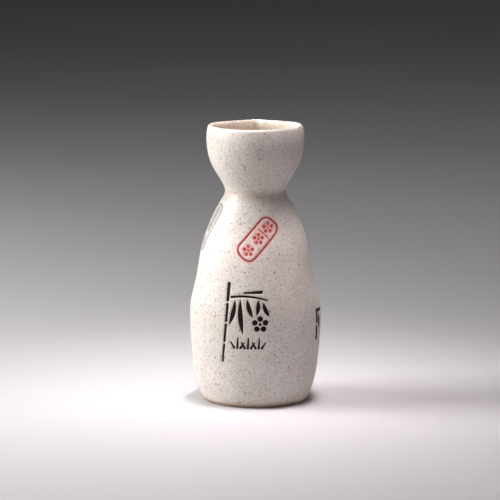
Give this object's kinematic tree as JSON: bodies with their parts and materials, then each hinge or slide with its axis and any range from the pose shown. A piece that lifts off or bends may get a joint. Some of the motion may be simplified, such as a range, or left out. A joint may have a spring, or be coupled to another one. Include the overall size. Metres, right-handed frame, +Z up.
{
  "type": "sake bottle",
  "caption": "Open-mouthed stoneware sake bottle with a waisted neck, a cup-shaped mouth pinched into a pouring spout, thumb dents in its sides and carved decoration.",
  "frame": {"origin": "centre of the circle that the foot stands on", "axes": "+Z up through the mouth, -Y towards the front with the bamboo, +Y towards the pouring spout, +X to the right seen from the front"},
  "size_m": [0.0732, 0.0732, 0.155],
  "materials": {
    "clay": "fired stoneware clay, bare and matt where it shows",
    "bare_foot": "bare fired stoneware, sponged smooth, matt and slightly gritty",
    "glaze": "satin-matt off-white glaze with fine brown and grey iron speckles",
    "liner_glaze": "satin glaze inside the bottle, a little warmer than outside",
    "black_inlay": "black-brown underglaze filled into carved grooves, satin",
    "red_inlay": "iron-red underglaze filled into stamped grooves, satin",
    "pooled_glaze": "the same glaze pooled pale grey in uncoloured stamped grooves",
    "seal_ground": "off-white glaze inside the seal, stained pink by the red line around it"
  },
  "bodies": {
    "root": {"body_shell": "clay", "mouth_bowl": "clay", "foot_ring": "bare_foot", "body_glaze": "glaze", "mouth_glaze": "glaze", "body_liner_glaze": "liner_glaze", "underside_glaze": "glaze", "front_stem_inlay": "black_inlay", "front_branch_inlay": "black_inlay", "front_leaf_inlay": "black_inlay", "front_blossom_inlay": "black_inlay", "front_grass_inlay": "black_inlay", "side_stem_inlay": "black_inlay", "side_branch_inlay": "black_inlay", "side_leaf_inlay": "black_inlay", "front_seal_line": "red_inlay", "front_seal_marks": "red_inlay", "front_seal_ground": "seal_ground", "side_seal_line": "pooled_glaze", "side_seal_marks": "pooled_glaze", "side_seal_ground": "glaze"}
  },
  "joints": []
}
